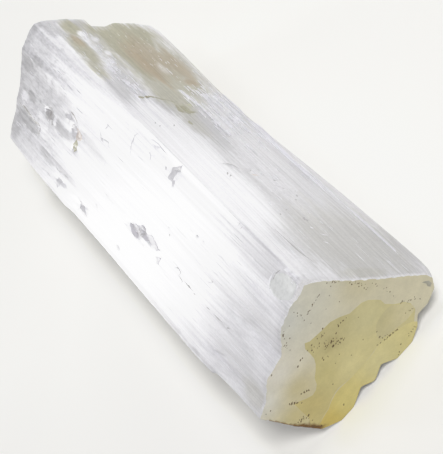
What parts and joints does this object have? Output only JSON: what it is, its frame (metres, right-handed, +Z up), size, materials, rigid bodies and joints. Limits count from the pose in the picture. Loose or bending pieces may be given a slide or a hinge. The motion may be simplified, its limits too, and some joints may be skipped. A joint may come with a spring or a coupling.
{
  "type": "selenite log",
  "caption": "Sawn length of fibrous selenite with a ridged back, two long flat flanks, a square sawn end and a scalloped underside it rests on.",
  "frame": {"origin": "Centre of the bounding box in plan, at the lowest point; Z up, the fibre and the length run along +Y.", "axes": "+Y runs from the sawn end to the broken end, +X to the lower, straight flank, +Z up to the ridge."},
  "size_m": [0.074, 0.1869, 0.0655],
  "materials": {
    "selenite": "Silky, fibrous and faintly see-through, white to pearl grey, with olive and honey-brown stain at the broken end and a waxy pale yellow-green sawn end."
  },
  "bodies": {
    "root": {"selenite_log": "selenite"}
  },
  "joints": []
}
